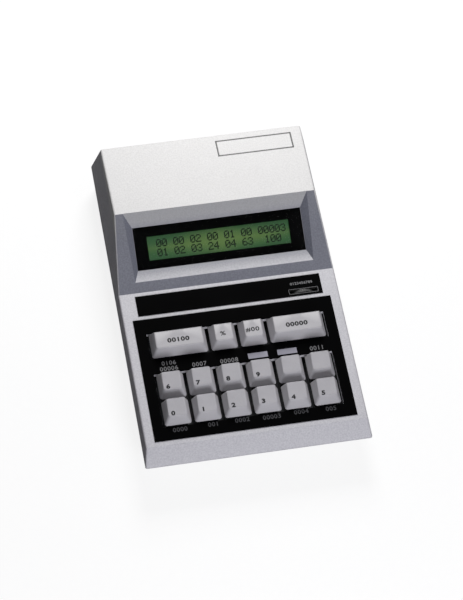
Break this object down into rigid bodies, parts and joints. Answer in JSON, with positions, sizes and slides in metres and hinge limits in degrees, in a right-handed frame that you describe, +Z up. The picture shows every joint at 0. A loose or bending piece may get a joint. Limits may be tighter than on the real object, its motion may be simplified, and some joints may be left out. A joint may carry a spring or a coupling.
{
  "type": "differential cell counter",
  "caption": "Desktop tally counter for blood cells: light grey wedge case with a black keypad of sculpted keys and a sloped display sunk behind a window.",
  "frame": {"origin": "on the table under the middle of the case", "axes": "+X to the right of the person using it, +Y to the rear, +Z up"},
  "size_m": [0.144, 0.227, 0.0523],
  "materials": {
    "cover": "fine-grained light grey moulded plastic",
    "tray": "fine-grained light grey moulded plastic",
    "keycap": "finely textured grey keycap plastic",
    "plunger": "smooth slippery plastic",
    "feet": "matt black rubber",
    "screw_steel": "zinc-plated steel",
    "overlay": "black printed polycarbonate sheet",
    "window": "clear acrylic",
    "mask": "black print",
    "bezel": "black-painted steel sheet",
    "lcd": "yellow-green display with a back light",
    "backlight": "white light guide",
    "circuit_board": "green solder mask",
    "wheel": "grey moulded plastic",
    "black_plastic": "black moulded plastic",
    "plate_steel": "plated steel sheet",
    "contact_brass": "bright contact metal",
    "spring_steel": "spring wire",
    "component": "black moulded packages",
    "rocker": "glossy black plastic",
    "cable": "grey ribbon insulation"
  },
  "bodies": {
    "case": {"base_tray": "tray", "beeper": "component", "board_components": "component", "board_screws": "screw_steel", "case_screws": "screw_steel", "contrast_pot": "black_plastic", "dc_inlet": "black_plastic", "display_mask": "mask", "display_window": "window", "internal_cables": "cable", "key_board": "circuit_board", "key_guides": "black_plastic", "key_plate": "plate_steel", "key_springs": "spring_steel", "keypad_overlay": "overlay", "lcd_backlight": "backlight", "lcd_bezel": "bezel", "lcd_board": "circuit_board", "lcd_glass": "lcd", "main_board": "circuit_board", "power_switch_body": "black_plastic", "rubber_feet": "feet", "strip_overlay": "overlay", "switch_contacts": "contact_brass", "switch_housings": "black_plastic", "top_cover": "cover"},
    "key_0": {"keycap_0": "keycap", "plunger_0": "plunger"},
    "key_1": {"keycap_1": "keycap", "plunger_1": "plunger"},
    "key_2": {"keycap_2": "keycap", "plunger_2": "plunger"},
    "key_3": {"keycap_3": "keycap", "plunger_3": "plunger"},
    "key_4": {"keycap_4": "keycap", "plunger_4": "plunger"},
    "key_5": {"keycap_5": "keycap", "plunger_5": "plunger"},
    "key_6": {"keycap_6": "keycap", "plunger_6": "plunger"},
    "key_7": {"keycap_7": "keycap", "plunger_7": "plunger"},
    "key_8": {"keycap_8": "keycap", "plunger_8": "plunger"},
    "key_9": {"keycap_9": "keycap", "plunger_9": "plunger"},
    "key_blank_left": {"keycap_blank_left": "keycap", "plunger_blank_left": "plunger"},
    "key_blank_right": {"keycap_blank_right": "keycap", "plunger_blank_right": "plunger"},
    "key_hash": {"keycap_hash": "keycap", "plunger_hash": "plunger"},
    "key_percent": {"keycap_percent": "keycap", "plunger_percent": "plunger"},
    "key_wide_left": {"keycap_wide_left": "keycap", "plunger_wide_left": "plunger"},
    "key_wide_right": {"keycap_wide_right": "keycap", "plunger_wide_right": "plunger"},
    "contrast_wheel": {"contrast_wheel": "wheel"},
    "power_rocker": {"power_rocker": "rocker"}
  },
  "joints": [
    {"name": "press_0", "type": "slide", "parent": "case", "child": "key_0", "axis": [0, 0, -1], "range_m": [0, 0.0035], "stiffness_N_per_m": 150, "springref_m": -0.003, "deforming": ["key_springs"]},
    {"name": "press_1", "type": "slide", "parent": "case", "child": "key_1", "axis": [0, 0, -1], "range_m": [0, 0.0035], "stiffness_N_per_m": 150, "springref_m": -0.003},
    {"name": "press_2", "type": "slide", "parent": "case", "child": "key_2", "axis": [0, 0, -1], "range_m": [0, 0.0035], "stiffness_N_per_m": 150, "springref_m": -0.003},
    {"name": "press_3", "type": "slide", "parent": "case", "child": "key_3", "axis": [0, 0, -1], "range_m": [0, 0.0035], "stiffness_N_per_m": 150, "springref_m": -0.003},
    {"name": "press_4", "type": "slide", "parent": "case", "child": "key_4", "axis": [0, 0, -1], "range_m": [0, 0.0035], "stiffness_N_per_m": 150, "springref_m": -0.003},
    {"name": "press_5", "type": "slide", "parent": "case", "child": "key_5", "axis": [0, 0, -1], "range_m": [0, 0.0035], "stiffness_N_per_m": 150, "springref_m": -0.003},
    {"name": "press_6", "type": "slide", "parent": "case", "child": "key_6", "axis": [0, 0, -1], "range_m": [0, 0.0035], "stiffness_N_per_m": 150, "springref_m": -0.003},
    {"name": "press_7", "type": "slide", "parent": "case", "child": "key_7", "axis": [0, 0, -1], "range_m": [0, 0.0035], "stiffness_N_per_m": 150, "springref_m": -0.003},
    {"name": "press_8", "type": "slide", "parent": "case", "child": "key_8", "axis": [0, 0, -1], "range_m": [0, 0.0035], "stiffness_N_per_m": 150, "springref_m": -0.003},
    {"name": "press_9", "type": "slide", "parent": "case", "child": "key_9", "axis": [0, 0, -1], "range_m": [0, 0.0035], "stiffness_N_per_m": 150, "springref_m": -0.003},
    {"name": "press_blank_left", "type": "slide", "parent": "case", "child": "key_blank_left", "axis": [0, 0, -1], "range_m": [0, 0.0035], "stiffness_N_per_m": 150, "springref_m": -0.003},
    {"name": "press_blank_right", "type": "slide", "parent": "case", "child": "key_blank_right", "axis": [0, 0, -1], "range_m": [0, 0.0035], "stiffness_N_per_m": 150, "springref_m": -0.003},
    {"name": "press_hash", "type": "slide", "parent": "case", "child": "key_hash", "axis": [0, 0, -1], "range_m": [0, 0.0035], "stiffness_N_per_m": 150, "springref_m": -0.003},
    {"name": "press_percent", "type": "slide", "parent": "case", "child": "key_percent", "axis": [0, 0, -1], "range_m": [0, 0.0035], "stiffness_N_per_m": 150, "springref_m": -0.003},
    {"name": "press_wide_left", "type": "slide", "parent": "case", "child": "key_wide_left", "axis": [0, 0, -1], "range_m": [0, 0.0035], "stiffness_N_per_m": 150, "springref_m": -0.003},
    {"name": "press_wide_right", "type": "slide", "parent": "case", "child": "key_wide_right", "axis": [0, 0, -1], "range_m": [0, 0.0035], "stiffness_N_per_m": 150, "springref_m": -0.003},
    {"name": "contrast_turn", "type": "hinge", "parent": "case", "child": "contrast_wheel", "pos_m": [0.04788, -0.00715, 0.0232], "axis": [0, 1, 0], "range_deg": [-135, 135]},
    {"name": "power_rock", "type": "hinge", "parent": "case", "child": "power_rocker", "pos_m": [0.04, 0.108, 0.013], "axis": [0, 0, 1], "range_deg": [0, 20]}
  ]
}
